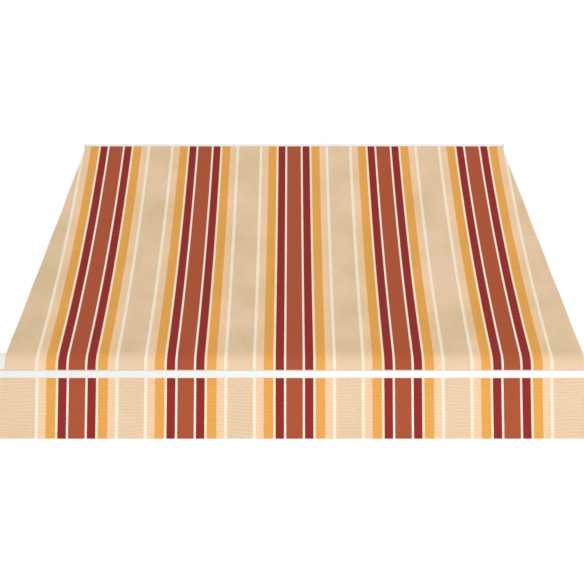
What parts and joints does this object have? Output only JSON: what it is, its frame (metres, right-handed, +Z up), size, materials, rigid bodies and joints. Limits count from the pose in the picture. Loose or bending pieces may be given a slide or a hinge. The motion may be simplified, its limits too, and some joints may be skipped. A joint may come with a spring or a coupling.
{
  "type": "window awning",
  "caption": "Sloping fabric window awning with a wall rail, white front bar, straight valance and hinged lift-up arms.",
  "frame": {"origin": "middle of the wall rail's back face, on the wall", "axes": "+X along the wall, to the right for someone who faces the awning; +Y into the wall; +Z up; the awning stands out to -Y"},
  "size_m": [2.1826, 0.8635, 1.287],
  "materials": {
    "striped_cloth": "woven acrylic, dyed stripes in terracotta, wine red, ochre, sand, ivory and beige",
    "keder_cord": "smooth",
    "profiles": "white powder coat, satin",
    "castings": "white powder coat over cast aluminium, satin",
    "end_caps": "moulded, satin",
    "steel": "stainless, turned",
    "washers": "nylon",
    "knobs": "fine moulded grain"
  },
  "bodies": {
    "wall_side": {"head_rail": "profiles", "rail_cap_left": "end_caps", "rail_cap_right": "end_caps", "canopy": "striped_cloth", "canopy_head_keder": "keder_cord", "wall_bracket_left": "castings", "pivot_bolt_left": "steel", "stop_pin_left": "steel", "wall_bracket_right": "castings", "pivot_bolt_right": "steel", "stop_pin_right": "steel"},
    "front_bar": {"front_bar": "profiles", "bar_cap_left": "end_caps", "bar_cap_right": "end_caps", "canopy_front_keder": "keder_cord", "valance": "striped_cloth", "valance_keder": "keder_cord", "bar_bracket_left": "castings", "bar_pin_left": "steel", "pin_clip_left": "steel", "bar_bracket_right": "castings", "bar_pin_right": "steel", "pin_clip_right": "steel", "bar_screw_left_lower": "steel", "bar_screw_left_upper": "steel", "bar_screw_right_lower": "steel", "bar_screw_right_upper": "steel"},
    "left_arm": {"arm_hub_left": "castings", "arm_tube_left": "profiles", "arm_eye_left": "castings", "hub_rivet_left": "steel", "eye_rivet_left": "steel", "hub_washer_left_inner": "washers", "hub_washer_left_outer": "washers", "eye_washer_left_inner": "washers", "eye_washer_left_outer": "washers"},
    "left_knob": {"clamp_knob_left": "knobs"},
    "right_arm": {"arm_hub_right": "castings", "arm_tube_right": "profiles", "arm_eye_right": "castings", "hub_rivet_right": "steel", "eye_rivet_right": "steel", "hub_washer_right_inner": "washers", "hub_washer_right_outer": "washers", "eye_washer_right_inner": "washers", "eye_washer_right_outer": "washers"},
    "right_knob": {"clamp_knob_right": "knobs"}
  },
  "joints": [
    {"name": "left_arm_swing", "type": "hinge", "parent": "wall_side", "child": "left_arm", "pos_m": [-0.993, -0.045, -1.015], "axis": [-1, 0, 0], "range_deg": [0, 85], "deforming": ["canopy"]},
    {"name": "front_bar_level", "type": "hinge", "parent": "left_arm", "child": "front_bar", "pos_m": [-0.993, -0.778, -1.015], "axis": [-1, 0, 0], "range_deg": [-85, 0]},
    {"name": "right_arm_swing", "type": "hinge", "parent": "wall_side", "child": "right_arm", "pos_m": [0.993, -0.045, -1.015], "axis": [-1, 0, 0], "range_deg": [0, 85]},
    {"name": "left_knob_turn", "type": "hinge", "parent": "wall_side", "child": "left_knob", "pos_m": [-0.9759, -0.045, -1.015], "axis": [1, 0, 0], "range_deg": [0, 270]},
    {"name": "right_knob_turn", "type": "hinge", "parent": "wall_side", "child": "right_knob", "pos_m": [0.9759, -0.045, -1.015], "axis": [-1, 0, 0], "range_deg": [0, 270]}
  ],
  "couplings": [
    {"joint": "front_bar_level", "follows": "left_arm_swing", "ratio": -1},
    {"joint": "right_arm_swing", "follows": "left_arm_swing", "ratio": 1}
  ]
}
